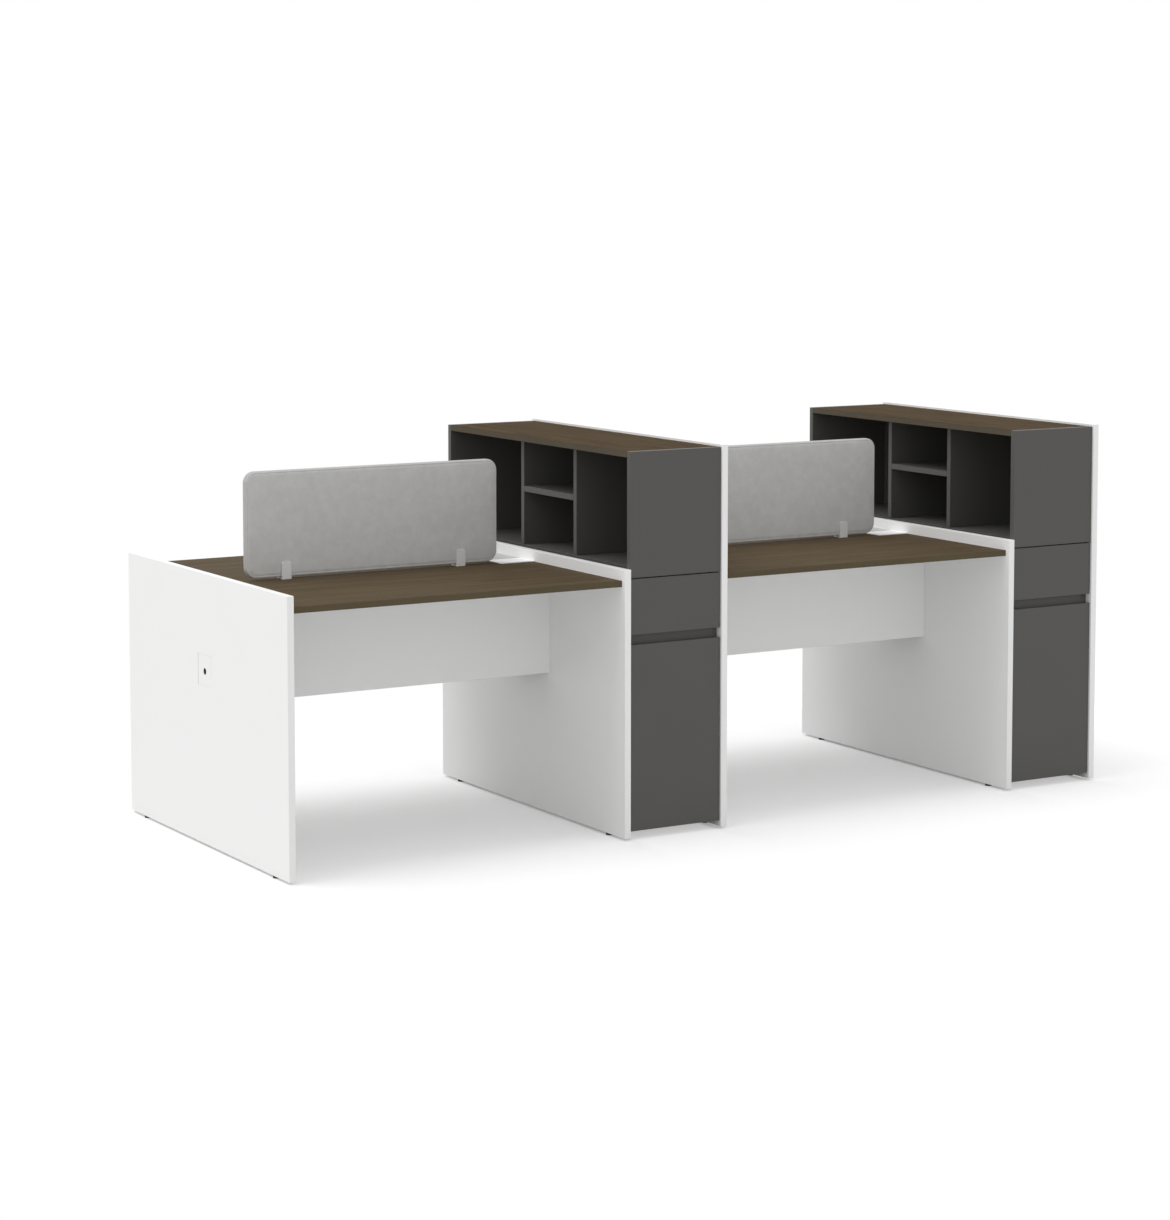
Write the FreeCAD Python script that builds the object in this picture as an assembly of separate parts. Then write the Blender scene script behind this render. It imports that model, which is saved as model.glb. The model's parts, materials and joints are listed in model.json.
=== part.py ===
import FreeCAD, Part
import os

from FreeCAD import Vector

os.makedirs("parts", exist_ok=True)

# Four-seat workstation cluster, in millimetres, +Z up, origin on the floor in the middle of the plan.
# Two bays stand side by side. Each has a double desk, then a storage tower that two seats share.
# Seats a and c face the rear from the front edge, and seats b and d face them from behind.

# Plan, from the end panel on the left to the last tall panel on the right
bays = 2
seats_per_bay = 2
seats = "abcd"
panel_thickness = 20.0
desk_width = 1035.0
tower_width = 308.0
cluster_depth = 1106.0

# Levels above the floor
glide_height = 6.5
worktop_level = 750.0
low_panel_level = 782.0
tall_panel_level = 1125.0
tower_level = 1118.0

# Boards
board_thickness = 18.0
edge_ease = 0.8
touch_gap = 0.3
overrun = 2.0
slant_share = 1e-6

# Floor glides, one near each end of every upright panel
glide_radius = 10.0
glide_inset = 103.0

# Worktops and the modesty panels that carry them
worktop_setback = 17.0
worktop_seam = 1.0
modesty_offset = 108.0
modesty_height = 304.0

# Folded steel tray for cables, hung between the modesty panels
tray_sheet = 1.5
tray_width = 120.0
tray_depth = 74.0
tray_flange = 20.0
tray_end_gap = 30.0
tray_slot_length = 60.0
tray_slot_width = 12.0
tray_slots = 6
slot_centre_share = 0.5

# Cable port with a hinged flap, where the two worktops meet the low panel. It lies a little behind
# the seam, and its plate runs on to the rear.
port_length = 111.0
port_width = 84.0
port_offset = 9.0
port_tail = 154.0
port_rise = 2.0
port_rim = 8.0
port_wall = 2.5
port_drop = 26.0
port_fit = 0.5
port_ledge = 2.0
port_corner = 4.0
flap_thickness = 3.0
flap_gap = 0.4
flap_pin_radius = 1.0
flap_pin_length = 2.0

# Running clearance of every pin and barrel
running_play = 0.05
pin_end_play = 0.4

# Fabric screens and the saddles that hold them up
screen_inset = 107.0
screen_port_gap = 4.0
screen_height = 305.0
screen_thickness = 24.0
screen_corner = 33.0
screen_edge = 4.0
saddle_width = 29.0
saddle_base = 6.7
saddle_cheek = 4.0
saddle_height = 50.0
saddle_inset = 124.0
saddle_corner = 6.0

# Small access hatch with a cam lock in the end panel
hatch_width = 90.0
hatch_height = 90.0
hatch_level = 551.0
hatch_thickness = 10.0
hatch_gap = 0.4
hatch_rebate = 8.0
hatch_pin_radius = 1.5
hatch_pin_length = 4.0
scoop_width = 12.0
scoop_depth = 2.0
scoop_length = 66.0
lock_level = 503.0
lock_offset = 4.0
lock_head_radius = 7.75
lock_head_length = 3.0
lock_barrel_radius = 6.0
lock_collar_radius = 9.0
lock_collar_length = 3.0
lock_cam_length = 37.0
lock_cam_width = 9.0
lock_cam_thickness = 2.0
keyway_width = 1.6
keyway_length = 6.0
keyway_depth = 2.0

# Storage tower: pigeonholes above, two back-to-back cabinets below
front_setback = 6.0
open_face_recess = 48.0
divider_spacing = 313.4
back_thickness = 8.0
cabinet_level = 760.0
cabinet_base = 25.0
cabinet_wall = 16.0
bumper_gap = 2.0
shelf_top = 958.0

# Fronts of a cabinet
front_side_gap = 1.5
drawer_top_gap = 3.0
upper_board_base = 756.5
drawer_front_height = 160.5
groove_height = 29.0
grip_rail_height = 65.0

# Drawer box and its side-mounted runners
drawer_wall = 12.0
drawer_back_gap = 41.0
drawer_side_height = 110.0
drawer_lift = 7.0
drawer_bottom_thickness = 6.0
drawer_bottom_inset = 10.0
drawer_groove_depth = 5.0
runner_space = 12.7
runner_sheet = 1.2
runner_height = 45.0
runner_setback = 4.0
runner_back_gap = 24.0
runner_play = 0.3

# Concealed cup hinges, two to a door
cup_radius = 17.5
cup_depth = 12.0
cup_wall = 1.5
cup_edge_distance = 22.5
cup_hole_play = 0.1
hinge_inset = 90.0
hinge_flange = 1.2
hinge_flange_width = 26.0
hinge_flange_length = 58.0
hinge_flange_corner = 8.0
arm_width = 16.0
arm_thickness = 12.0
arm_length = 64.0
arm_clearance = 0.5
arm_plate_thickness = 2.0
arm_plate_height = 48.0
arm_plate_length = 32.0

# Places worked out from the sizes above
bay_pitch = 2 * panel_thickness + desk_width + tower_width
cluster_length = bays * bay_pitch + panel_thickness
left = -cluster_length / 2
front = -cluster_depth / 2
worktop_base = worktop_level - board_thickness
front_face = front + front_setback
front_back = front_face + board_thickness
carcass_front = front_back + bumper_gap
drawer_top = upper_board_base - drawer_top_gap
drawer_base = drawer_top - drawer_front_height
door_top = drawer_base - groove_height
grip_base = (drawer_base + door_top - grip_rail_height) / 2
hatch_base = hatch_level - hatch_height


def board(xs, ys, zs, ease=edge_ease):
    """A rectangular board with every arris eased."""
    box = block(xs, ys, zs)
    return box.makeChamfer(ease, box.Edges)


def block(xs, ys, zs):
    """A plain box between pairs of limits."""
    return Part.makeBox(xs[1] - xs[0], ys[1] - ys[0], zs[1] - zs[0], Vector(xs[0], ys[0], zs[0]))


def prism(points, run):
    """A polygon pushed along a vector."""
    return Part.Face(Part.makePolygon(points + points[:1])).extrude(run)


def turned(profile, axis):
    """A profile of (radius, height) points turned about Z, then laid along an axis."""
    points = [Vector(radius, 0, height) for radius, height in profile]
    solid = Part.Face(Part.makePolygon(points + points[:1])).revolve(Vector(), Vector(0, 0, 1), 360)
    return Part.makeSolid(solid.Shells[0]).transformed(
        FreeCAD.Placement(Vector(), FreeCAD.Rotation(Vector(0, 0, 1), axis)).toMatrix())


def edges_along(solid, direction):
    """The straight edges that run along a direction."""
    def matches(edge):
        run = edge.Vertexes[-1].Point - edge.Vertexes[0].Point
        return len(edge.Vertexes) == 2 and run.cross(direction).Length <= slant_share * run.Length
    return [edge for edge in solid.Edges if matches(edge)]


def mirrored(shape):
    """The same piece for the seat behind."""
    return shape.mirror(Vector(), Vector(0, 1, 0))


def in_bay(shape, bay):
    return shape.translated(Vector(bay * bay_pitch, 0, 0))


def both_sides(shape):
    return [shape, mirrored(shape)]


def every_bay(shapes):
    return [in_bay(shape, bay) for bay in range(bays) for shape in shapes]


def save(name, shapes):
    """Writes one node, as separate solids where it has several."""
    body = shapes[0] if len(shapes) == 1 else Part.makeCompound(shapes)
    for solid in body.Solids:
        if not solid.isValid() or solid.Volume <= 0:
            raise ValueError("bad solid in " + name)
    body.exportStep("parts/" + name + ".step")
    print(name, len(body.Solids), round(body.Volume / 1000, 1))


# Upright panels and glides

desk_left = left + panel_thickness
desk_right = desk_left + desk_width
tower_left = desk_right + panel_thickness
tower_right = tower_left + tower_width


def glide_places(x):
    """Where the two glides of the panel whose left face is at x stand."""
    return [Vector(x + panel_thickness / 2, side * (front + glide_inset), 0) for side in (1, -1)]


def upright(x, level):
    return board((x, x + panel_thickness), (front, -front), (glide_height, level))


def glide(place):
    return Part.makeCylinder(glide_radius, glide_height, place)


def nosed_flap(length, width, thickness, pin_radius, pin_length):
    """A flap that turns on two end pins in its rounded edge.

    The pins lie on the Y axis. The flap reaches from them along -X, and is as thick above as below.
    """
    nose = thickness / 2
    plate = block((nose - length, 0), (-width / 2, width / 2), (-nose, nose))
    plate = plate.fuse(Part.makeCylinder(nose, width, Vector(0, -width / 2, 0), Vector(0, 1, 0)))
    span = width + 2 * pin_length
    pins = Part.makeCylinder(pin_radius, span, Vector(0, -span / 2, 0), Vector(0, 1, 0))
    return plate.fuse(pins).removeSplitter()


# Hatch in the end panel, with its pins at the rear edge

hatch_front = -hatch_width / 2
hatch_pin = Vector(left + hatch_thickness / 2, hatch_width / 2 - hatch_thickness / 2 - hatch_gap, 0)
lock_centre = Vector(left, -lock_offset, lock_level)


def scoop():
    """Shallow finger hollow across the free edge of the hatch."""
    radius = (scoop_width * scoop_width / 4 + scoop_depth * scoop_depth) / (2 * scoop_depth)
    base = Vector(left + scoop_depth - radius, hatch_front, hatch_level - scoop_length - hatch_gap)
    return Part.makeCylinder(radius, scoop_length, base, Vector(0, 0, 1))


def end_panel():
    panel = upright(left, low_panel_level)
    seat = block((left - overrun, left + hatch_thickness + touch_gap), (hatch_front, -hatch_front),
                 (hatch_base, hatch_level))
    way = block((left, left + panel_thickness + overrun),
                (hatch_front + hatch_rebate, -hatch_front - hatch_rebate),
                (hatch_base + hatch_rebate, hatch_level - hatch_rebate))
    sunk = hatch_pin_length - hatch_gap + pin_end_play
    holes = Part.makeCylinder(hatch_pin_radius + running_play, hatch_height + 2 * sunk,
                              hatch_pin + Vector(0, 0, hatch_base - sunk), Vector(0, 0, 1))
    return panel.cut(seat).cut(way).cut(holes).cut(scoop())


def hatch_door():
    flap = nosed_flap(hatch_width - 2 * hatch_gap, hatch_height - 2 * hatch_gap, hatch_thickness,
                      hatch_pin_radius, hatch_pin_length)
    flap = flap.transformed(FreeCAD.Placement(Vector(), FreeCAD.Rotation(Vector(1, 0, 0), 90)).toMatrix())
    flap = flap.transformed(FreeCAD.Placement(Vector(), FreeCAD.Rotation(Vector(0, 0, 1), 90)).toMatrix())
    flap = flap.translated(hatch_pin + Vector(0, 0, (hatch_base + hatch_level) / 2))
    outside = lock_centre - Vector(overrun, 0, 0)
    bore = Part.makeCylinder(lock_barrel_radius + running_play, hatch_thickness + 2 * overrun,
                             outside, Vector(1, 0, 0))
    sink = Part.makeCylinder(lock_head_radius + running_play, lock_head_length + overrun,
                             outside, Vector(1, 0, 0))
    return flap.cut(bore).cut(sink).cut(scoop())


def hatch_lock():
    reach = panel_thickness + touch_gap
    collar = hatch_thickness + touch_gap
    barrel = turned([(0, 0), (lock_head_radius, 0), (lock_head_radius, lock_head_length),
                     (lock_barrel_radius, lock_head_length), (lock_barrel_radius, collar),
                     (lock_collar_radius, collar), (lock_collar_radius, collar + lock_collar_length),
                     (lock_barrel_radius, collar + lock_collar_length), (lock_barrel_radius, reach),
                     (0, reach)], Vector(1, 0, 0))
    cam = block((reach, reach + lock_cam_thickness), (-lock_cam_width / 2, lock_cam_width / 2),
                (0, lock_cam_length))
    hub = Part.makeCylinder(lock_barrel_radius, lock_cam_thickness, Vector(reach, 0, 0), Vector(1, 0, 0))
    keyway = block((-overrun, keyway_depth), (-keyway_width / 2, keyway_width / 2),
                   (-keyway_length / 2, keyway_length / 2))
    return barrel.fuse(hub).fuse(cam).cut(keyway).removeSplitter().translated(lock_centre)


# Desks

port_middle = Vector(desk_right - port_length / 2, port_offset, 0)


def port_ring(inset, low, high):
    """Rectangle of the cable port, drawn in from its rim."""
    x = port_length / 2 - inset
    y = port_width / 2 - inset
    return block((port_middle.x - x, port_middle.x + x), (port_middle.y - y, port_middle.y + y), (low, high))


def worktop_pair():
    top = board((desk_left, desk_right), (front + worktop_setback, -worktop_seam / 2),
                (worktop_base, worktop_level))
    way = port_ring(port_rim - port_wall - port_fit, worktop_base - overrun, worktop_level + overrun)
    return [half.cut(way) for half in both_sides(top)]


def modesty_panel():
    return board((desk_left, desk_right), (-modesty_offset - board_thickness, -modesty_offset),
                 (worktop_base - modesty_height, worktop_base))


def cable_tray():
    """Hat section folded from sheet, with slots for ties along its floor."""
    half = tray_width / 2
    wide = half + tray_flange
    low = worktop_base - tray_depth
    flange_low = worktop_base - tray_sheet
    right_half = [(half - tray_sheet, worktop_base), (wide, worktop_base), (wide, flange_low),
                  (half, flange_low), (half, low)]
    outline = right_half + [(-y, z) for y, z in reversed(right_half)]
    outline += [(tray_sheet - half, low + tray_sheet), (half - tray_sheet, low + tray_sheet)]
    start = desk_left + tray_end_gap
    length = desk_width - 2 * tray_end_gap
    tray = prism([Vector(start, y, z) for y, z in outline], Vector(length, 0, 0))
    step = length / tray_slots
    for place in range(tray_slots):
        middle = start + (place + slot_centre_share) * step
        slot = block((middle - tray_slot_length / 2, middle + tray_slot_length / 2),
                     (-tray_slot_width / 2, tray_slot_width / 2),
                     (low - overrun, low + tray_sheet + overrun))
        tray = tray.cut(slot)
    return tray


# The flap of the port turns on pins near the low panel
flap_length = port_length - 2 * port_rim - 2 * flap_gap
flap_span = port_width - 2 * port_rim - 2 * flap_gap
flap_pin = Vector(desk_right - port_rim - flap_gap - flap_thickness / 2, port_offset,
                  worktop_level + port_rise - flap_thickness / 2)


def port_frame():
    rise = worktop_level + port_rise
    half = port_width / 2
    rim = block((desk_right - port_length, desk_right), (port_offset - half, port_offset + half + port_tail),
                (worktop_level, rise))
    rim = rim.makeFillet(port_corner, edges_along(rim, Vector(0, 0, 1)))
    collar = port_ring(port_rim - port_wall, worktop_level - port_drop, rise)
    ledge_top = rise - flap_thickness - touch_gap
    frame = rim.fuse(collar).cut(port_ring(port_rim, ledge_top, rise + overrun))
    frame = frame.cut(port_ring(port_rim + port_ledge, worktop_level - port_drop - overrun, rise + overrun))
    frame = frame.cut(port_ring(port_rim, worktop_level - port_drop - overrun, ledge_top - port_ledge))
    span = flap_span + 2 * flap_pin_length + 2 * pin_end_play
    holes = Part.makeCylinder(flap_pin_radius + running_play, span,
                              flap_pin - Vector(0, span / 2, 0), Vector(0, 1, 0))
    return frame.cut(holes).removeSplitter()


def port_flap():
    flap = nosed_flap(flap_length, flap_span, flap_thickness, flap_pin_radius, flap_pin_length)
    return flap.translated(flap_pin)


# Screens

screen_left = desk_left + screen_inset
screen_length = desk_width - screen_inset - screen_port_gap - port_length
screen_base = worktop_level + saddle_base + touch_gap
first_saddle = screen_left + saddle_inset
last_saddle = screen_left + screen_length - saddle_inset


def screen():
    slab = block((screen_left, screen_left + screen_length), (-screen_thickness / 2, screen_thickness / 2),
                 (screen_base, screen_base + screen_height))
    slab = slab.makeFillet(screen_corner, edges_along(slab, Vector(0, 1, 0)))
    rims = [edge for edge in slab.Edges
            if abs(edge.CenterOfMass.y) > screen_thickness / 2 - edge_ease]
    return slab.makeChamfer(screen_edge, rims)


def saddle(x):
    """U-shaped saddle across the seam of the worktops, centred at x."""
    inner = screen_thickness / 2 + touch_gap
    outer = inner + saddle_cheek
    low = worktop_level
    seat = worktop_level + saddle_base
    high = worktop_level + saddle_height
    outline = [(-outer, low), (outer, low), (outer, high), (inner, high), (inner, seat), (-inner, seat),
               (-inner, high), (-outer, high)]
    body = prism([Vector(x - saddle_width / 2, y, z) for y, z in outline], Vector(saddle_width, 0, 0))
    top_edges = [edge for edge in body.Edges
                 if abs(edge.CenterOfMass.z - high) < edge_ease
                 and abs(edge.CenterOfMass.x - x) > saddle_width / 2 - edge_ease]
    return body.makeFillet(saddle_corner, top_edges)


# Storage tower

cell_left = tower_left + open_face_recess
cell_right = tower_right - back_thickness
cell_floor = cabinet_level + board_thickness
tower_ceiling = tower_level - board_thickness


def tower_board():
    return board((tower_left, tower_right), (front_face, front_back), (upper_board_base, tower_level))


def divider():
    middle = divider_spacing / 2
    return board((cell_left, cell_right), (-middle - board_thickness / 2, -middle + board_thickness / 2),
                 (cell_floor, tower_ceiling))


def tower_shelf():
    half = (divider_spacing - board_thickness) / 2
    return board((cell_left, cell_right), (-half, half), (shelf_top - board_thickness, shelf_top))


def tower_slab(x_limits, z_limits):
    """A board that runs from the front board to the rear one."""
    return board(x_limits, (front_back, -front_back), z_limits)


def tower_top():
    return tower_slab((tower_left, tower_right), (tower_ceiling, tower_level))


def tower_floor():
    return tower_slab((cell_left, cell_right), (cabinet_level, cell_floor))


def tower_back():
    return tower_slab((cell_right, tower_right), (cabinet_level, tower_ceiling))


# Cabinets

carcass_left = tower_left + cabinet_wall
carcass_right = tower_right - cabinet_wall


def carcass_slab(x_limits, z_limits):
    """A board that runs through both back-to-back cabinets."""
    return board(x_limits, (carcass_front, -carcass_front), z_limits)


def cabinet_side_pair():
    levels = (cabinet_base, cabinet_level)
    return [carcass_slab((tower_left, carcass_left), levels),
            carcass_slab((carcass_right, tower_right), levels)]


def cabinet_slab(low):
    return carcass_slab((carcass_left, carcass_right), (low, low + board_thickness))


def partition():
    return board((carcass_left, carcass_right), (-cabinet_wall / 2, cabinet_wall / 2),
                 (cabinet_base + board_thickness, cabinet_level - board_thickness))


def grip_rail():
    return board((carcass_left, carcass_right), (carcass_front, carcass_front + board_thickness),
                 (grip_base, grip_base + grip_rail_height))


# Drawer

box_left = carcass_left + runner_space
box_right = carcass_right - runner_space
box_base = grip_base + grip_rail_height + drawer_lift
box_top = box_base + drawer_side_height
box_back = -cabinet_wall / 2 - drawer_back_gap
runner_middle = (box_base + box_top) / 2
runner_front = carcass_front + runner_setback
runner_length = box_back - runner_back_gap - runner_front


def drawer_front():
    return board((tower_left + front_side_gap, tower_right - front_side_gap), (front_face, front_back),
                 (drawer_base, drawer_top))


def drawer_bottom():
    low = box_base + drawer_bottom_inset
    side = drawer_wall - drawer_groove_depth
    return block((box_left + side, box_right - side), (front_back + side, box_back - side),
                 (low, low + drawer_bottom_thickness))


def drawer_box():
    """Two sides, a back, a false front and a bottom let into grooves."""
    levels = (box_base, box_top)
    inner = (box_left + drawer_wall, box_right - drawer_wall)
    walls = [block((box_left, inner[0]), (front_back, box_back), levels),
             block((inner[1], box_right), (front_back, box_back), levels),
             block(inner, (front_back, front_back + drawer_wall), levels),
             block(inner, (box_back - drawer_wall, box_back), levels)]
    return [wall.cut(drawer_bottom()) for wall in walls] + [drawer_bottom()]


def channel(web_x, reach, height):
    """A channel section along the drawer, with its web at web_x and its lips towards reach."""
    sign = 1 if reach > web_x else -1
    half = height / 2
    outline = [(web_x, -half), (reach, -half), (reach, runner_sheet - half),
               (web_x + sign * runner_sheet, runner_sheet - half),
               (web_x + sign * runner_sheet, half - runner_sheet), (reach, half - runner_sheet),
               (reach, half), (web_x, half)]
    corners = [Vector(x, runner_front, runner_middle + z) for x, z in outline]
    return prism(corners, Vector(0, runner_length, 0))


def fixed_runners():
    lip = runner_space - runner_sheet - runner_play
    return [channel(carcass_left, carcass_left + lip, runner_height),
            channel(carcass_right, carcass_right - lip, runner_height)]


def drawer_slides():
    lip = runner_space - runner_sheet - runner_play
    height = runner_height - 2 * runner_sheet - 2 * runner_play
    return [channel(box_left, box_left - lip, height), channel(box_right, box_right + lip, height)]


# Door and its hinges, on the side of the tall panel

door_left = tower_left + front_side_gap
door_right = tower_right - front_side_gap
cup_x = door_right - cup_edge_distance
lower_hinge = cabinet_base + hinge_inset
upper_hinge = door_top - hinge_inset


def door():
    leaf = board((door_left, door_right), (front_face, front_back), (cabinet_base, door_top))
    for level in (lower_hinge, upper_hinge):
        hole = Part.makeCylinder(cup_radius + cup_hole_play, cup_depth + cup_hole_play + overrun,
                                 Vector(cup_x, front_back + overrun, level), Vector(0, -1, 0))
        leaf = leaf.cut(hole)
    return leaf


def hinge_cup(level):
    """Cup let into the door, with a wing above and below for its screws."""
    rim = cup_radius - cup_wall
    cup = turned([(0, -cup_depth), (cup_radius, -cup_depth), (cup_radius, 0), (rim, 0),
                  (rim, cup_wall - cup_depth), (0, cup_wall - cup_depth)], Vector(0, 1, 0))
    flange = block((-hinge_flange_width / 2, hinge_flange_width / 2), (0, hinge_flange),
                   (-hinge_flange_length / 2, hinge_flange_length / 2))
    flange = flange.makeChamfer(hinge_flange_corner, edges_along(flange, Vector(0, 1, 0)))
    flange = flange.cut(Part.makeCylinder(rim, hinge_flange, Vector(), Vector(0, 1, 0)))
    return cup.fuse(flange).translated(Vector(cup_x, front_back, level))


def hinge_arm(level):
    """Arm and cross plate on the side of the cabinet."""
    tip = front_back + hinge_flange + arm_clearance + bumper_gap / 2
    face = carcass_right - arm_plate_thickness
    arm = block((face - arm_thickness, face), (tip, tip + arm_length),
                (level - arm_width / 2, level + arm_width / 2))
    arm = arm.makeChamfer(arm_plate_thickness - edge_ease, edges_along(arm, Vector(0, 1, 0)))
    middle = tip + arm_length - arm_plate_length / 2 - arm_plate_thickness
    plate = block((face, carcass_right), (middle - arm_plate_length / 2, middle + arm_plate_length / 2),
                  (level - arm_plate_height / 2, level + arm_plate_height / 2))
    plate = plate.makeChamfer(hinge_flange_corner, edges_along(plate, Vector(1, 0, 0)))
    return arm.fuse(plate)


# Write every node

low_panel_x = desk_right
tall_panel_x = tower_right

save("end_panel", [end_panel()])
for bay in range(bays):
    number = str(bay + 1)
    save("low_panel_" + number, [in_bay(upright(low_panel_x, low_panel_level), bay)])
    save("tall_panel_" + number, [in_bay(upright(tall_panel_x, tall_panel_level), bay)])

panel_places = [left] + [x + bay * bay_pitch for bay in range(bays) for x in (low_panel_x, tall_panel_x)]
save("floor_glides", [glide(place) for x in panel_places for place in glide_places(x)])

save("cable_trays", every_bay([cable_tray()]))
save("cable_port_frames", every_bay([port_frame()]))
save("screen_saddles", every_bay([saddle(x) for x in (first_saddle, last_saddle)]))
save("hatch_door", [hatch_door()])
save("hatch_lock", [hatch_lock()])

save("tower_shelves", every_bay([tower_shelf()]))
save("tower_backs", every_bay([tower_back()]))
save("cabinet_partitions", every_bay([partition()]))
save("cabinet_bottoms", every_bay([cabinet_slab(cabinet_base)]))
save("cabinet_tops", every_bay([cabinet_slab(cabinet_level - board_thickness)]))
save("grip_rails", every_bay(both_sides(grip_rail())))
save("drawer_runners", every_bay([piece for rail in fixed_runners() for piece in both_sides(rail)]))
arms = [hinge_arm(level) for level in (lower_hinge, upper_hinge)]
save("hinge_arms", every_bay([piece for arm in arms for piece in both_sides(arm)]))

for bay in range(bays):
    number = str(bay + 1)
    for seat, top in zip(seats[seats_per_bay * bay:], worktop_pair()):
        save("worktop_" + seat, [in_bay(top, bay)])
    save("modesty_panels_" + number, [in_bay(shape, bay) for shape in both_sides(modesty_panel())])
    save("cable_port_flap_" + number, [in_bay(port_flap(), bay)])
    save("screen_" + number, [in_bay(screen(), bay)])
    save("tower_top_" + number, [in_bay(tower_top(), bay)])
    save("tower_end_boards_" + number, [in_bay(shape, bay) for shape in both_sides(tower_board())])
    save("tower_dividers_" + number, [in_bay(shape, bay) for shape in both_sides(divider())])
    save("tower_floor_" + number, [in_bay(tower_floor(), bay)])
    save("cabinet_sides_" + number, [in_bay(shape, bay) for shape in cabinet_side_pair()])

for number, seat in enumerate(seats):
    bay, behind = divmod(number, seats_per_bay)
    pieces = {"drawer_front_": [drawer_front()], "drawer_box_": drawer_box(),
              "drawer_slides_": drawer_slides(), "door_": [door()],
              "door_hinge_cups_": [hinge_cup(level) for level in (lower_hinge, upper_hinge)]}
    for name, shapes in pieces.items():
        save(name + seat, [in_bay(mirrored(shape) if behind else shape, bay) for shape in shapes])
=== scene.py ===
import json
from math import cos, pi, radians, sin

import bmesh
import bpy
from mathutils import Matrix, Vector


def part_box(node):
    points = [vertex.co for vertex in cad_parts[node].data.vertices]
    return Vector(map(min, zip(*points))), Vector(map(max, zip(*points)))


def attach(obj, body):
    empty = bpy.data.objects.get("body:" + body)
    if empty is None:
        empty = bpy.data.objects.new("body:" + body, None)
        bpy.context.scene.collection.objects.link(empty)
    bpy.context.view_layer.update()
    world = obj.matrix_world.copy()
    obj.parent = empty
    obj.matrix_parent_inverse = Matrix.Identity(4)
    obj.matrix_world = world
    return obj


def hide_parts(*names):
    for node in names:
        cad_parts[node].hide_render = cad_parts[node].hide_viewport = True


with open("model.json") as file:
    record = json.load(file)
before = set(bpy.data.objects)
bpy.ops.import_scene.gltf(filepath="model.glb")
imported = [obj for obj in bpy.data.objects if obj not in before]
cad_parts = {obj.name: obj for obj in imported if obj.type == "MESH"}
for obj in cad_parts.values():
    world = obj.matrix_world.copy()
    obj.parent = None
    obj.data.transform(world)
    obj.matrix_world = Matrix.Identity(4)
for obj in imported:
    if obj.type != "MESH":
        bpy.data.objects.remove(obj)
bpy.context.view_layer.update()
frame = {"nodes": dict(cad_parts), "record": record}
nodes = frame["nodes"]
print("frame loaded:", len(nodes), "nodes")


# A wrapped socket takes Python arithmetic, and each operator adds its Math node

class Wire:
    def __init__(self, web, socket):
        self.web = web
        self.socket = socket

    def math(self, operation, first, second=0.0):
        node = self.web.node("ShaderNodeMath", {"operation": operation}, {0: first, 1: second})
        return self.web.out(node)

    def __add__(self, other):
        return self.math("ADD", self, other)

    __radd__ = __add__

    def __mul__(self, other):
        return self.math("MULTIPLY", self, other)

    __rmul__ = __mul__

    def __sub__(self, other):
        return self.math("SUBTRACT", self, other)

    def __rsub__(self, other):
        return self.math("SUBTRACT", other, self)

    def larger(self, other):
        return self.math("MAXIMUM", self, other)

    def size(self):
        return self.math("ABSOLUTE", self)


class Web:
    def __init__(self, tree):
        self.tree = tree
        tree.nodes.clear()

    # a node's settings come first, then the values or links of its sockets
    def node(self, kind, settings=None, values=None):
        made = self.tree.nodes.new(kind)
        for name, value in (settings or {}).items():
            if name == "stops":
                self.setStops(made.color_ramp, value)
            else:
                setattr(made, name, value)
        for name, value in (values or {}).items():
            if isinstance(value, Wire):
                self.tree.links.new(value.socket, made.inputs[name])
            else:
                made.inputs[name].default_value = value
        return made

    # a ramp starts with two stops, and more are added in its middle before they are placed
    def setStops(self, ramp, stops):
        while len(ramp.elements) < len(stops):
            ramp.elements.new(0.5)
        for element, (place, value) in zip(ramp.elements, stops):
            element.position = place
            element.color = (value, value, value, 1)

    def out(self, made, output=0):
        return Wire(self, made.outputs[output])

    # 1 for what the eye sees, straight or through gloss and clear plastic
    def seen(self):
        path = self.node("ShaderNodeLightPath")
        straight = self.out(path, "Is Camera Ray")
        return straight.larger(self.out(path, "Is Glossy Ray")).larger(self.out(path, "Is Transmission Ray"))

    def blend(self, share, first, second):
        return self.out(self.node("ShaderNodeMixShader", {}, {0: share, 1: first, 2: second}))


class Finish(Web):
    def __init__(self, name):
        self.material = bpy.data.materials.new(name)
        self.material.use_nodes = True
        super().__init__(self.material.node_tree)

    # object coordinates, stretched by a factor for each axis
    def place(self, stretch=(1, 1, 1)):
        coordinates = self.node("ShaderNodeTexCoord")
        return self.out(self.node("ShaderNodeMapping", {}, {
            "Vector": self.out(coordinates, "Object"), "Scale": stretch}))

    # how far the surface faces along an axis, from -1 to 1
    def facing(self, axis):
        normal = self.out(self.node("ShaderNodeNewGeometry"), "Normal")
        return self.out(self.node("ShaderNodeSeparateXYZ", {}, {"Vector": normal}), axis)

    def noise(self, place, scale, detail=2.0, roughness=0.5, distortion=0.0):
        return self.out(self.node("ShaderNodeTexNoise", {}, {
            "Vector": place, "Scale": scale, "Detail": detail, "Roughness": roughness,
            "Distortion": distortion}))

    def ramp(self, value, stops):
        return self.out(self.node("ShaderNodeValToRGB", {"stops": stops}, {"Fac": value}))

    def mix(self, share, first, second):
        return self.out(self.node("ShaderNodeMix", {"data_type": "RGBA"}, {0: share, 6: first, 7: second}), 2)

    def bump(self, height, strength, distance, under=None):
        values = {"Height": height, "Strength": strength, "Distance": distance}
        if under is not None:
            values["Normal"] = under
        return self.out(self.node("ShaderNodeBump", {}, values))

    def end(self, shader):
        self.node("ShaderNodeOutputMaterial", {}, {"Surface": shader})
        return self.material

    def surface(self, values):
        return self.end(self.out(self.node("ShaderNodeBsdfPrincipled", {}, values)))


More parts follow.
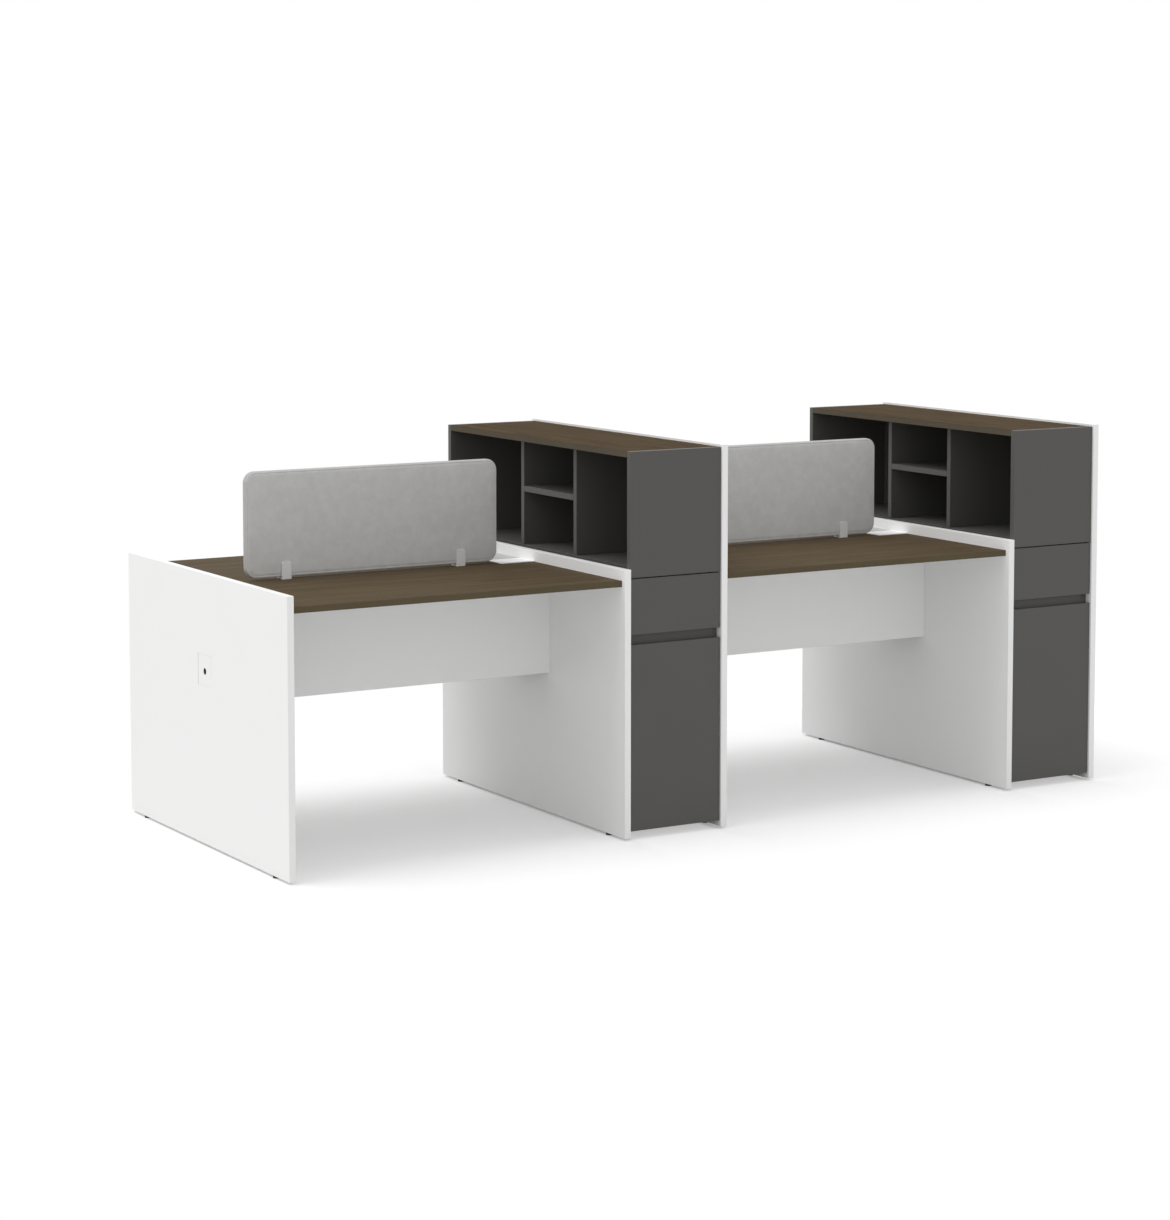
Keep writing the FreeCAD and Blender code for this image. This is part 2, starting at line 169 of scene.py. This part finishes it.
def tone(red, green, blue):
    return (red, green, blue, 1)


# In every look below, a noise is its scale, detail, roughness and distortion, where the later ones
# may be left out, a bump is its strength and depth, and stops are places with the value at each

# Melamine board: faint clouds and specks, a fine pebbled press mark, and wipe marks in the gloss
def melamine(name, look):
    finish = Finish(name)
    place = finish.place()
    cloud = finish.noise(place, *look["cloud"])
    pebble = finish.noise(place, *look["pebble"])
    speck = finish.ramp(finish.noise(place, *look["speck"]), look["speckStops"])
    wipe = finish.noise(finish.place(look["wipeStretch"]), *look["wipe"])
    shaded = cloud * look["cloudShare"] + speck * look["speckShare"]
    return finish.surface({
        "Base Color": finish.mix(shaded, look["light"], look["shade"]),
        "Roughness": wipe * look["roughChange"] + look["rough"],
        "Specular IOR Level": look["specular"],
        "Normal": finish.bump(pebble, *look["pebbleBump"])})


boardLook = {"cloudShare": 0.58, "speckStops": [(0.32, 0.0), (0.74, 1.0)], "wipe": (4, 3),
             "roughChange": 0.11}
whiteLook = {**boardLook, "light": tone(0.925, 0.925, 0.918), "shade": tone(0.895, 0.897, 0.893),
             "cloud": (7, 3), "pebble": (1400, 2), "pebbleBump": (0.55, 0.00005), "speck": (470, 1),
             "speckShare": 0.25, "wipeStretch": (3, 3, 22), "rough": 0.40, "specular": 0.35}
greyLook = {**boardLook, "light": tone(0.102, 0.100, 0.0962), "shade": tone(0.090, 0.0884, 0.0850),
            "cloud": (9, 3), "pebble": (1100, 2), "pebbleBump": (0.55, 0.00009), "speck": (550, 1),
            "speckShare": 0.40, "wipeStretch": (3, 3, 20), "rough": 0.42, "specular": 0.25}


# Walnut decor: broad figure, streaks and pores drawn out along the grain, greyer on the edging,
# on a board that may have a pale back
def walnut(name, look):
    finish = Finish(name)
    grain = finish.place(look["stretch"])
    broad = finish.noise(grain, *look["broad"])
    streak = finish.noise(grain, *look["streak"])
    pore = finish.ramp(finish.noise(grain, *look["pores"]), look["poreStops"])
    figure = finish.ramp(broad * look["broadShare"] + streak * look["streakShare"], look["figureStops"])
    figured = finish.mix(figure, look["dark"], look["light"])
    wood = finish.mix(pore * look["poreShare"], figured, look["pore"])
    facing = finish.facing("Z")
    edging = finish.ramp(facing.size(), look["edgeStops"])
    underside = finish.ramp(facing * -1, look["backStops"])
    edged = finish.mix(edging * look["edgeShare"], wood, look["edge"])
    return finish.surface({
        "Base Color": finish.mix(underside * look["backed"], edged, look["back"]),
        "Roughness": streak * look["roughChange"] + look["rough"],
        "Specular IOR Level": look["specular"],
        "Normal": finish.bump(1 - pore, *look["poreBump"], finish.bump(streak, *look["streakBump"]))})


woodLook = {"broad": (3.0, 4, 0.55, 0.6), "broadShare": 0.62, "streak": (26.0, 5, 0.6, 0.3),
            "streakShare": 0.38, "streakBump": (0.25, 0.0002), "figureStops": [(0.34, 0.0), (0.66, 1.0)],
            "pores": (190.0, 3, 0.7), "poreStops": [(0.36, 1.0), (0.50, 0.0)], "poreShare": 0.45,
            "poreBump": (0.5, 0.00012), "edgeStops": [(0.45, 1.0), (0.60, 0.0)], "edgeShare": 0.6,
            "back": tone(0.84, 0.84, 0.83), "backStops": [(0.80, 0.0), (0.85, 1.0)],
            "rough": 0.64, "roughChange": 0.14}
deskWood = {**woodLook, "dark": tone(0.076, 0.053, 0.028), "light": tone(0.118, 0.088, 0.051),
            "pore": tone(0.042, 0.029, 0.017), "edge": tone(0.115, 0.096, 0.060),
            "stretch": (1, 11, 11), "specular": 0.07, "backed": 1.0}
towerWood = {**woodLook, "dark": tone(0.060, 0.040, 0.0215), "light": tone(0.098, 0.069, 0.040),
             "pore": tone(0.030, 0.021, 0.012), "edge": tone(0.125, 0.116, 0.090),
             "stretch": (11, 1, 11), "specular": 0.01, "backed": 0.0}


# Felted cloth: a plain weave seen through a blended nap, with painted shade that darkens its narrow sides
def screenCloth(look):
    finish = Finish("screenCloth")
    place = finish.place()
    threads = [finish.out(finish.node("ShaderNodeTexWave", {"bands_direction": axis}, {
        "Vector": place, "Scale": look["thread"], "Distortion": look["threadWander"],
        "Detail": look["threadDetail"], "Detail Scale": look["threadDetailScale"]}), 1) for axis in "XZ"]
    nap = finish.noise(place, *look["nap"])
    melange = finish.noise(place, *look["melange"])
    blotch = finish.noise(place, *look["blotch"])
    warp, weft = [thread * look["threadShare"] for thread in threads]
    depth = warp + weft + nap * look["napShare"]
    blend = depth * look["depthShare"] + melange * look["melangeShare"] + blotch * look["blotchShare"]
    cloth = finish.mix(finish.ramp(blend, look["blendStops"]), look["dark"], look["light"])
    # painted shade: faces that look across the screen, its narrow sides, turn darker
    rimShadeMask = finish.ramp(finish.facing("Y").size(), look["rimShadeStops"])
    return finish.surface({
        "Base Color": finish.mix(rimShadeMask * look["rimShadeShare"], cloth, look["rimShade"]),
        "Roughness": nap * look["roughChange"] + look["rough"],
        "Specular IOR Level": look["specular"],
        "Sheen Weight": look["fuzz"],
        "Sheen Roughness": look["fuzzRough"],
        "Normal": finish.bump(depth, *look["weaveBump"])})


clothLook = {"light": tone(0.69, 0.69, 0.682), "dark": tone(0.515, 0.515, 0.508),
             "thread": 620.0, "threadWander": 1.6, "threadDetail": 2.0, "threadDetailScale": 1.4,
             "threadShare": 0.22, "nap": (2600.0, 3, 0.65), "napShare": 0.56, "depthShare": 0.35,
             "melange": (420.0, 4, 0.7), "melangeShare": 0.30, "blotch": (38.0, 3, 0.6),
             "blotchShare": 0.35, "blendStops": [(0.30, 0.0), (0.72, 1.0)], "weaveBump": (0.55, 0.0006),
             # the painted shade on the narrow sides
             "rimShade": tone(0.40, 0.40, 0.394), "rimShadeStops": [(0.60, 1.0), (0.80, 0.0)], "rimShadeShare": 0.8,
             "rough": 0.85, "roughChange": 0.1, "specular": 0.2, "fuzz": 0.25, "fuzzRough": 0.5}


# Moulded plastic, with painted shade on a greyer tail behind a line where the look gives one
def mouldedPlastic(name, look):
    finish = Finish(name)
    place = finish.place()
    spark = finish.noise(place, *look["spark"])
    cloud = finish.noise(place, *look["cloud"])
    colour = finish.mix(cloud * look["cloudShare"] + spark * look["sparkShare"], look["light"], look["shade"])
    # painted shade: beyond a line across Y the plastic turns grey
    if "tailShade" in look:
        back = finish.out(finish.node("ShaderNodeSeparateXYZ", {}, {"Vector": place}), "Y")
        tailShadeMask = finish.ramp(back - look["tailShadeStart"], [(0.0, 0.0), (look["tailShadeFade"], 1.0)])
        colour = finish.mix(tailShadeMask, colour, look["tailShade"])
    return finish.surface({
        "Base Color": colour,
        "Roughness": spark * look["roughChange"] + look["rough"],
        "Specular IOR Level": look["specular"],
        "Transmission Weight": look["clear"],
        "Normal": finish.bump(spark, *look["sparkBump"])})


plasticLook = {"cloud": (14.0, 3), "cloudShare": 0.7, "sparkShare": 0.3, "sparkBump": (0.4, 0.00006),
               "roughChange": 0.12, "clear": 0.0}


# Sheet steel: lines drawn along it, under a faint bloom
def steel(name, look):
    finish = Finish(name)
    drawn = finish.noise(finish.place(look["stretch"]), *look["line"])
    bloom = finish.noise(finish.place(), *look["bloom"])
    return finish.surface({
        "Base Color": finish.mix(bloom, look["light"], look["shade"]),
        "Metallic": look["metal"],
        "Roughness": drawn * look["roughChange"] + look["rough"],
        "Normal": finish.bump(drawn, *look["lineBump"])})


steelLook = {"bloom": (55.0, 4, 0.65), "roughChange": 0.18}


# Board of the drawer boxes, pressed with a linen mark
def linenBoard(look):
    finish = Finish("drawerMelamine")
    warp = finish.noise(finish.place(look["warpStretch"]), *look["thread"])
    weft = finish.noise(finish.place(look["weftStretch"]), *look["thread"])
    weave = warp * look["threadShare"] + weft * look["threadShare"]
    return finish.surface({
        "Base Color": finish.mix(weave, look["light"], look["shade"]),
        "Roughness": weft * look["roughChange"] + look["rough"],
        "Normal": finish.bump(weave, *look["weaveBump"])})


linenLook = {"light": tone(0.235, 0.235, 0.23), "shade": tone(0.175, 0.175, 0.172),
             "thread": (900.0, 3), "threadShare": 0.5, "warpStretch": (1, 0.12, 1),
             "weftStretch": (0.12, 1, 0.12), "weaveBump": (0.5, 0.0001), "rough": 0.45, "roughChange": 0.12}

finishes = {
    "white_board": melamine("whiteMelamine", whiteLook),
    "grey_board": melamine("greyMelamine", greyLook),
    "walnut_board": walnut("deskWalnut", deskWood),
    "screen_fabric": screenCloth(clothLook),
    "clear_plastic": mouldedPlastic("frostedPlastic", {
        **plasticLook, "light": tone(0.83, 0.835, 0.84), "shade": tone(0.78, 0.785, 0.79),
        "spark": (1500.0, 3, 0.6), "rough": 0.30, "specular": 0.5, "clear": 0.12}),
    "black_plastic": mouldedPlastic("blackGlide", {
        **plasticLook, "light": tone(0.020, 0.020, 0.021), "shade": tone(0.014, 0.014, 0.015),
        "spark": (1900.0, 3, 0.6), "rough": 0.40, "specular": 0.4}),
    "white_plastic": mouldedPlastic("whitePlastic", {
        **plasticLook, "light": tone(0.97, 0.97, 0.965), "shade": tone(0.95, 0.952, 0.95),
        "spark": (1900.0, 3, 0.6), "rough": 0.40, "specular": 0.05,
        # painted shade on the plastic behind the port flap
        "tailShade": tone(0.56, 0.56, 0.555), "tailShadeStart": 0.051, "tailShadeFade": 0.004}),
    "white_steel": steel("whitePowderCoat", {
        **steelLook, "light": tone(0.80, 0.80, 0.79), "shade": tone(0.75, 0.752, 0.745),
        "stretch": (1, 1, 1), "line": (700.0, 4, 0.6), "lineBump": (0.35, 0.00015), "metal": 0.0,
        "rough": 0.34}),
    "lock_metal": mouldedPlastic("blackLock", {
        **plasticLook, "light": tone(0.006, 0.006, 0.006), "shade": tone(0.010, 0.010, 0.010),
        "spark": (900.0, 3, 0.6), "rough": 0.34, "specular": 0.06}),
    "drawer_board": linenBoard(linenLook),
    "zinc_steel": steel("zincSteel", {
        **steelLook, "light": tone(0.62, 0.63, 0.64), "shade": tone(0.50, 0.51, 0.52),
        "stretch": (30, 1, 30), "line": (60.0, 4, 0.6), "lineBump": (0.35, 0.00004), "metal": 1.0,
        "rough": 0.24}),
}
ownFinish = {"tower_top_1": walnut("towerWalnut", towerWood), "hatch_door": finishes["white_board"]}
ownFinish["tower_top_2"] = ownFinish["tower_top_1"]
print("finishes made:", len(finishes) + 1)

for subpart in frame["record"]["subparts"]:
    piece = nodes[subpart["node"]]
    piece.data.materials.clear()
    piece.data.materials.append(ownFinish.get(subpart["node"], finishes[subpart["material_slot"]]))


# Adds a mesh to the scene as a piece that rides on a body
def addPiece(name, mesh, body):
    piece = bpy.data.objects.new(name, mesh)
    bpy.context.scene.collection.objects.link(piece)
    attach(piece, body)
    return piece


# Mesh from points and faces, with its faces turned outwards
def outwardMesh(name, points, faces, smooth):
    mesh = bpy.data.meshes.new(name)
    mesh.from_pydata([tuple(point) for point in points], [], faces)
    shape = bmesh.new()
    shape.from_mesh(mesh)
    bmesh.ops.recalc_face_normals(shape, faces=shape.faces)
    shape.to_mesh(mesh)
    shape.free()
    mesh.polygons.foreach_set("use_smooth", [smooth] * len(mesh.polygons))
    return mesh


# Fabric screens: cloth over a stiff core, with a welt that runs round both faces
screenLook = {"corner": 0.033, "cornerSteps": 14, "leastCorner": 0.004, "runStep": 0.030,
              "rimRound": 0.0045, "rimSteps": 5, "weltInset": 0.0055, "weltWidth": 0.0020,
              "weltDepth": 0.0004, "weltSlope": 0.25, "crown": 0.0011, "crownInset": 0.045,
              "crownSteps": 6, "fill": 0.95}


# One loop of a rounded rectangle, drawn in by an inset
def roundedLoop(low, high, inset, look):
    reach = max(look["corner"] - inset, look["leastCorner"])
    left, right = low.x + inset + reach, high.x - inset - reach
    bottom, top = low.z + inset + reach, high.z - inset - reach
    corners = []
    for quarter, (x, z) in enumerate([(right, top), (left, top), (left, bottom), (right, bottom)]):
        turns = [pi / 2 * (quarter + step / look["cornerSteps"]) for step in range(look["cornerSteps"] + 1)]
        corners.append([(x + reach * cos(turn), z + reach * sin(turn)) for turn in turns])
    loop = []
    for quarter, corner in enumerate(corners):
        loop += corner
        (x, z), (nextX, nextZ) = corner[-1], corners[(quarter + 1) % 4][0]
        run = high.z - low.z if quarter % 2 else high.x - low.x
        count = int(run / look["runStep"])
        loop += [(x + (nextX - x) * step / count, z + (nextZ - z) * step / count) for step in range(1, count)]
    return loop


# The screen's section, from the middle of its rim to the middle of its face, as loops drawn in more
# and more, and the same again on the other face
def fabricScreen(name, node, look):
    low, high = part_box(node)
    middle = (low.y + high.y) / 2
    face = (high.y - low.y) / 2 - look["crown"]
    rim, welt, groove = look["rimRound"], look["weltInset"], look["weltWidth"]
    slope, sunk = groove * look["weltSlope"], face - look["weltDepth"]
    side = [(0.0, 0.0), (0.0, (face - rim) / 2), (0.0, face - rim)]  # inset, and distance from the middle
    for step in range(1, look["rimSteps"] + 1):
        turn = pi / 2 * step / look["rimSteps"]
        side.append((rim * (1 - cos(turn)), face - rim + rim * sin(turn)))
    side += [(welt, face), (welt + slope, sunk), (welt + groove - slope, sunk), (welt + groove, face)]
    for step in range(1, look["crownSteps"] + 1):
        share = step / look["crownSteps"]
        side.append((welt + groove + (look["crownInset"] - welt) * share,
                     face + look["crown"] * sin(pi / 2 * share)))
    rows = [(inset, -depth) for inset, depth in reversed(side)] + side[1:]
    loops = [roundedLoop(low, high, inset, look) for inset, depth in rows]
    points = [(x, middle + rows[row][1], z) for row, loop in enumerate(loops) for x, z in loop]
    count = len(loops[0])
    faces = [(row * count + step, row * count + (step + 1) % count,
              (row + 1) * count + (step + 1) % count, (row + 1) * count + step)
             for row in range(len(rows) - 1) for step in range(count)]
    faces += [tuple(range(count)), tuple(range((len(rows) - 1) * count, len(rows) * count))]
    mesh = outwardMesh(name, points, faces, True)
    mesh.materials.append(finishes["screen_fabric"])
    piece = addPiece(name, mesh, "frame")
    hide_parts(node)


for number in ("1", "2"):
    fabricScreen("fabric_screen_" + number, "screen_" + number, screenLook)
print("screens made")


# Rosette of the hatch lock: a thin washer let into the hatch, round the lock's head
rosetteLook = {"inner": 0.0079, "outer": 0.0094, "proud": 0.00005, "edge": 0.0003, "depth": 0.0006,
               "turns": 48}


def lockRosette(look):
    low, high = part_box("hatch_lock")
    middle = Vector((low.x, (low.y + high.y) / 2, low.z + (high.y - low.y) / 2))
    side = [(-look["proud"], look["inner"]), (-look["proud"], look["outer"] - look["edge"]),
            (0.0, look["outer"]), (look["depth"], look["outer"]), (look["depth"], look["inner"])]
    turns = [2 * pi * step / look["turns"] for step in range(look["turns"])]
    points = [middle + Vector((depth, radius * cos(turn), radius * sin(turn)))
              for depth, radius in side for turn in turns]
    count, rows = len(turns), len(side)
    faces = [(row * count + step, row * count + (step + 1) % count,
              (row + 1) % rows * count + (step + 1) % count, (row + 1) % rows * count + step)
             for row in range(rows) for step in range(count)]
    mesh = outwardMesh("lock_rosette", points, faces, False)
    mesh.materials.append(finishes["lock_metal"])
    addPiece("lock_rosette", mesh, "hatch")


lockRosette(rosetteLook)
print("rosette made")


# Screws: pan heads with a cross recess, in the hinges, runners, trays and drawer boxes
screwLook = {"radius": 0.0036, "rise": 0.0019, "shoulder": 0.55, "crownShare": 0.72, "recess": 0.0011,
             "slotWidth": 0.0011, "slotLength": 0.0042, "spin": pi, "seed": 7}


# The head's rounds have as many points as the cross has corners, so that faces can join them
def screwHead(look):
    sides = 12
    rounds = [(look["radius"], 0.0), (look["radius"], look["rise"] * look["shoulder"]),
              (look["radius"] * look["crownShare"], look["rise"])]
    turns = [2 * pi * (step - 0.5) / sides for step in range(sides)]
    points = [(radius * cos(turn), radius * sin(turn), z) for radius, z in rounds for turn in turns]
    wide, far = look["slotWidth"] / 2, look["slotLength"] / 2
    cross = []
    for along, across in ((1, 0), (0, 1), (-1, 0), (0, -1)):
        for out, aside in ((far, -wide), (far, wide), (wide, wide)):
            cross.append((along * out - across * aside, across * out + along * aside))
    for z in (look["rise"], look["rise"] - look["recess"]):
        points += [(x, y, z) for x, y in cross]
    faces = []
    for row in range(len(rounds) + 1):
        first, second = row * sides, (row + 1) * sides
        for step in range(sides):
            after = (step + 1) % sides
            faces.append((first + step, first + after, second + after, second + step))
    floor = (len(rounds) + 1) * sides  # first point of the recess's floor
    faces += [(floor + arm, floor + arm + 1, floor + arm + 2, floor + (arm - 1) % sides)
              for arm in range(0, sides, 3)]
    faces += [tuple(range(floor + 2, floor + sides, 3)), tuple(reversed(range(sides)))]
    return outwardMesh("screwHead", points, faces, False)


# Tree that sets one head on each point, turned to the point's aim and spun at random
def screwTree():
    tree = bpy.data.node_groups.new("screwRows", "GeometryNodeTree")
    for name, kind in (("Places", "NodeSocketGeometry"), ("Head", "NodeSocketObject"),
                       ("Spin", "NodeSocketFloat"), ("Seed", "NodeSocketInt"),
                       ("Finish", "NodeSocketMaterial")):
        tree.interface.new_socket(name, in_out="INPUT", socket_type=kind)
    tree.interface.new_socket("Screws", in_out="OUTPUT", socket_type="NodeSocketGeometry")
    web = Web(tree)
    given = web.node("NodeGroupInput")
    head = web.node("GeometryNodeObjectInfo", {}, {"Object": web.out(given, "Head")})
    aim = web.node("GeometryNodeInputNamedAttribute", {"data_type": "FLOAT_VECTOR"}, {"Name": "aim"})
    facing = web.node("FunctionNodeAlignRotationToVector", {"axis": "Z"}, {
        "Vector": web.out(aim, "Attribute")})
    spin = web.node("FunctionNodeRandomValue", {"data_type": "FLOAT"}, {
        "Min": 0.0, "Max": web.out(given, "Spin"), "Seed": web.out(given, "Seed")})
    turn = web.node("FunctionNodeEulerToRotation", {}, {
        "Euler": web.out(web.node("ShaderNodeCombineXYZ", {}, {"Z": web.out(spin, 1)}))})
    turned = web.node("FunctionNodeRotateRotation", {"rotation_space": "LOCAL"}, {
        "Rotation": web.out(facing), "Rotate By": web.out(turn)})
    rows = web.node("GeometryNodeInstanceOnPoints", {}, {
        "Points": web.out(given, "Places"), "Instance": web.out(head, "Geometry"),
        "Rotation": web.out(turned)})
    solid = web.node("GeometryNodeRealizeInstances", {}, {"Geometry": web.out(rows)})
    painted = web.node("GeometryNodeSetMaterial", {}, {
        "Geometry": web.out(solid), "Material": web.out(given, "Finish")})
    web.node("NodeGroupOutput", {}, {"Screws": web.out(painted)})
    return tree


# The box of each separate solid in a CAD node
def solidBoxes(node):
    weld = 1e-6
    shape = bmesh.new()
    shape.from_mesh(nodes[node].data)
    bmesh.ops.remove_doubles(shape, verts=shape.verts, dist=weld)
    unseen = set(shape.verts)
    boxes = []
    for start in shape.verts:
        if start not in unseen:
            continue
        unseen.remove(start)
        waiting, found = [start], [start]
        while waiting:
            point = waiting.pop()
            for edge in point.link_edges:
                other = edge.other_vert(point)
                if other in unseen:
                    unseen.remove(other)
                    waiting.append(other)
                    found.append(other)
        boxes.append([Vector(limit(point.co[axis] for point in found) for axis in range(3))
                      for limit in (min, max)])
    shape.free()
    return boxes


hingeRows = {"plateThickness": 0.002, "plateBack": 0.018, "plateReach": 0.017, "cupReach": 0.0232}
drawerRows = {"railNear": 0.25, "railSheet": 0.0012, "railShares": (0.08, 0.45, 0.92),
              "boardThickness": 0.012, "frontReach": 0.07}
trayRows = {"end": 0.06, "flangeInset": 0.010, "sheet": 0.0015, "count": 5}
screws = {}


# Notes one screw for a body, standing on its place and pointing along its aim
def fasten(body, place, aim):
    screws.setdefault(body, []).append((Vector(place), Vector(aim)))


def hingeScrews(look):
    for low, high in solidBoxes("hinge_arms"):
        y = high.y - look["plateBack"] if high.y < 0 else low.y + look["plateBack"]
        for way in (-1, 1):
            z = (low.z + high.z) / 2 + way * look["plateReach"]
            fasten("frame", (high.x - look["plateThickness"], y, z), (-1, 0, 0))
    for seat in "abcd":
        for low, high in solidBoxes("door_hinge_cups_" + seat):
            inward = 1 if high.y < 0 else -1
            face = high.y if inward > 0 else low.y
            for way in (-1, 1):
                z = (low.z + high.z) / 2 + way * look["cupReach"]
                fasten("door_leaf_" + seat, ((low.x + high.x) / 2, face, z), (0, inward, 0))


def drawerScrews(look):
    for seat in "abcd":
        boxLow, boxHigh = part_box("drawer_box_" + seat)
        centre = (boxLow + boxHigh) / 2
        for node, body, facing in (("drawer_runners", "frame", 1),
                                   ("drawer_slides_" + seat, "drawer_" + seat, -1)):
            for low, high in solidBoxes(node):
                middle = (low + high) / 2
                if (middle - centre).length > look["railNear"]:
                    continue
                aim = facing if middle.x < centre.x else -facing
                web = (low.x if aim > 0 else high.x) + aim * look["railSheet"]
                for share in look["railShares"]:
                    fasten(body, (web, low.y + share * (high.y - low.y), middle.z), (aim, 0, 0))
        inward = 1 if centre.y < 0 else -1
        wall = boxLow.y + look["boardThickness"] if inward > 0 else boxHigh.y - look["boardThickness"]
        for way in (-1, 1):
            fasten("drawer_" + seat, (centre.x + way * look["frontReach"], wall, centre.z), (0, inward, 0))


def trayScrews(look):
    for low, high in solidBoxes("cable_trays"):
        start, end = low.x + look["end"], high.x - look["end"]
        for y in (low.y + look["flangeInset"], high.y - look["flangeInset"]):
            for step in range(look["count"]):
                x = start + (end - start) * step / (look["count"] - 1)
                fasten("frame", (x, y, high.z - look["sheet"]), (0, 0, -1))


hingeScrews(hingeRows)
drawerScrews(drawerRows)
trayScrews(trayRows)

headPiece = bpy.data.objects.new("screwHead", screwHead(screwLook))
rowTree = screwTree()
sockets = {item.name: item.identifier for item in rowTree.interface.items_tree if item.in_out == "INPUT"}
for body, places in screws.items():
    dots = bpy.data.meshes.new("dots")
    dots.from_pydata([tuple(place) for place, aim in places], [], [])
    aims = dots.attributes.new("aim", "FLOAT_VECTOR", "POINT")
    aims.data.foreach_set("vector", [share for place, aim in places for share in aim])
    holder = bpy.data.objects.new("holder", dots)
    bpy.context.scene.collection.objects.link(holder)
    rows = holder.modifiers.new("rows", "NODES")
    rows.node_group = rowTree
    for name, value in (("Head", headPiece), ("Spin", screwLook["spin"]), ("Seed", screwLook["seed"]),
                        ("Finish", finishes["zinc_steel"])):
        rows[sockets[name]] = value
    made = bpy.data.meshes.new_from_object(holder.evaluated_get(bpy.context.evaluated_depsgraph_get()))
    made.name = "screws_" + body
    bpy.data.objects.remove(holder)
    addPiece("screws_" + body, made, body)
bpy.data.objects.remove(headPiece)
print("screws set:", sum(len(places) for places in screws.values()))


# The photograph's viewing angle
cameraLook = {"place": (-4.7870, -7.8185, 1.9001), "pitch": -4.996, "yaw": -30.713, "lens": 89.265,
              "sensor": 36, "shift": -0.14}
lens = bpy.data.cameras.new("photoCamera")
lens.sensor_width = cameraLook["sensor"]
lens.lens = cameraLook["lens"]
lens.shift_y = cameraLook["shift"]
camera = bpy.data.objects.new("photoCamera", lens)
camera.location = cameraLook["place"]
camera.rotation_euler = (radians(90 + cameraLook["pitch"]), 0, radians(cameraLook["yaw"]))
bpy.context.scene.collection.objects.link(camera)
bpy.context.scene.camera = camera
print("camera set")


# One broad, soft light from the upper left, a little from the rear
lightLook = {"ambient": 0.90, "white": 1.0, "skyPower": 1.02, "skySoftness": 40, "skyRise": 65,
             "skyLean": -8}
skyLamp = bpy.data.lights.new("skyLamp", "SUN")
skyLamp.energy = lightLook["skyPower"]
skyLamp.angle = radians(lightLook["skySoftness"])
skyHolder = bpy.data.objects.new("skyLamp", skyLamp)
skyHolder.rotation_euler = (radians(lightLook["skyLean"]), radians(lightLook["skyRise"] - 90), 0)
bpy.context.scene.collection.objects.link(skyHolder)

# White for the eye, and an even light for everything else
world = bpy.data.worlds.new("studio")
bpy.context.scene.world = world
world.use_nodes = True
sky = Web(world.node_tree)
ambient, white = [sky.out(sky.node("ShaderNodeBackground", {}, {
    "Color": tone(1, 1, 1), "Strength": lightLook[strength]})) for strength in ("ambient", "white")]
sky.node("ShaderNodeOutputWorld", {}, {"Surface": sky.blend(sky.seen(), ambient, white)})


# White to the eye, with the object's shade on it: full below the desks, less in line with the towers,
# and fading over the reach outside the inner rectangle, which is given by its half sizes
floorLook = {"bounce": tone(0.58, 0.58, 0.58), "dust": tone(0.57, 0.57, 0.57), "cloud": 3.0,
             "white": tone(1, 1, 1), "glow": 1.0, "inner": (2.2, 0.38), "reach": 2.0,
             "shares": [(0.0, 0.82), (0.24, 0.44), (1.0, 0.0)], "lift": 0.30, "liftFade": 0.02,
             "size": 30.0}


def floorFinish(look):
    finish = Finish("paleFloor")
    place = finish.place()
    pale = finish.mix(finish.noise(place, look["cloud"]), look["bounce"], look["dust"])
    lit = finish.out(finish.node("ShaderNodeBsdfDiffuse", {}, {"Color": pale}))
    shaded = finish.out(finish.node("ShaderNodeBsdfDiffuse", {}, {"Color": look["white"]}))
    glow = finish.out(finish.node("ShaderNodeEmission", {}, {
        "Color": look["white"], "Strength": look["glow"]}))
    axes = finish.node("ShaderNodeSeparateXYZ", {}, {"Vector": place})
    beside, ahead = [finish.out(axes, axis).size() - look["inner"][axis] for axis in range(2)]
    (left, right), (nextLeft, nextRight) = [
        [corner.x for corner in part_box("tower_top_" + number)] for number in "12"]
    middle, half = (left + nextRight) / 2, (right - left) / 2
    offset = ((finish.out(axes, "X") - middle).size() - (nextLeft - left) / 2).size()
    below = finish.ramp(offset, [(half - look["liftFade"], look["lift"]), (half, 0.0)])
    share = finish.ramp(beside.larger(ahead) * (1 / look["reach"]), look["shares"]) * (1 - below)
    return finish.end(finish.blend(finish.seen(), lit, finish.blend(share, glow, shaded)))


reach = floorLook["size"]
floorMesh = bpy.data.meshes.new("floor")
floorMesh.from_pydata([(-reach, -reach, 0), (reach, -reach, 0), (reach, reach, 0), (-reach, reach, 0)],
                      [], [(0, 1, 2, 3)])
floorMesh.materials.append(floorFinish(floorLook))
floor = bpy.data.objects.new("floor", floorMesh)
bpy.context.scene.collection.objects.link(floor)
print("light and floor set")

bpy.context.scene.view_settings.view_transform = "Standard"
